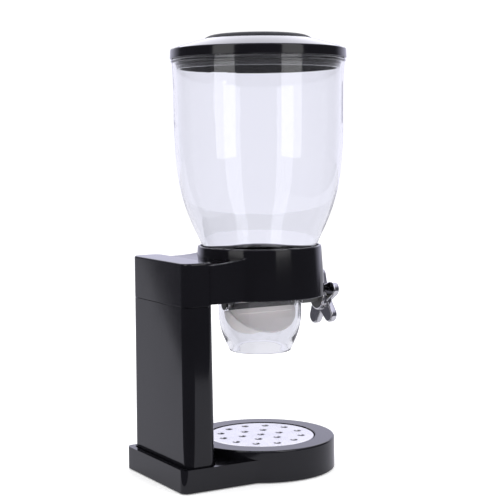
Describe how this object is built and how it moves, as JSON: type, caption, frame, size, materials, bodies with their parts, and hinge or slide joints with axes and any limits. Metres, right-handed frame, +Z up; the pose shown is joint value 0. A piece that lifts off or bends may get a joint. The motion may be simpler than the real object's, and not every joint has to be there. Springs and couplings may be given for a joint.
{
  "type": "cereal dispenser",
  "caption": "Countertop dry-food dispenser: clear bell-shaped canister with lid in a collar on an arm and column, hand-turned paddle wheel, clear chute and round drip tray.",
  "frame": {"origin": "centre of the whole object's footprint box, on the surface that its feet stand on", "axes": "+Z up, front with the knob and the tray towards -Y, +X to the right seen from the front"},
  "size_m": [0.157, 0.1872, 0.3904],
  "materials": {
    "black_plastic": "polished moulded black",
    "grip_plastic": "satin black",
    "clear_plastic": "clear polished",
    "silicone": "soft matte warm grey",
    "foot_rubber": "matte black",
    "chrome": "bright plated",
    "plate_steel": "bright satin",
    "steel": "zinc plated",
    "grey_plastic": "moulded grey"
  },
  "bodies": {
    "stand": {"base_shell": "black_plastic", "base_cover": "black_plastic", "base_screws": "steel", "foot_front_left": "foot_rubber", "foot_front_right": "foot_rubber", "foot_rear_left": "foot_rubber", "foot_rear_right": "foot_rubber", "column": "black_plastic", "column_screws": "steel", "head_cover": "black_plastic", "head_screws": "steel", "arm_screws": "steel", "collar_arm": "black_plastic", "hopper_funnel": "black_plastic", "chute": "clear_plastic", "chute_ring": "black_plastic", "chute_screws": "steel", "front_bush": "grey_plastic", "rear_bush": "grey_plastic"},
    "agitator": {"drive_shaft": "steel", "paddle_hub": "grey_plastic", "paddle_1": "silicone", "paddle_2": "silicone", "paddle_3": "silicone", "paddle_4": "silicone", "paddle_5": "silicone", "shaft_clip": "steel", "knob_stem": "grey_plastic", "knob_star": "chrome", "knob_insert": "grey_plastic", "knob_cap": "chrome"},
    "canister": {"canister": "clear_plastic"},
    "lid": {"lid_cap": "black_plastic", "lid_grip": "grip_plastic", "lid_liner": "black_plastic", "lid_gasket": "silicone"},
    "drip_plate": {"drip_plate": "plate_steel"}
  },
  "joints": [
    {"name": "knob_turn", "type": "hinge", "parent": "stand", "child": "agitator", "pos_m": [0, -0.01515, 0.15], "axis": [0, -1, 0], "continuous": true},
    {"name": "canister_lift", "type": "slide", "parent": "stand", "child": "canister", "axis": [0, 0, 1], "range_m": [0, 0.06]},
    {"name": "lid_lift", "type": "slide", "parent": "canister", "child": "lid", "axis": [0, 0, 1], "range_m": [0, 0.05]},
    {"name": "plate_lift", "type": "slide", "parent": "stand", "child": "drip_plate", "axis": [0, 0, 1], "range_m": [0, 0.05]}
  ]
}
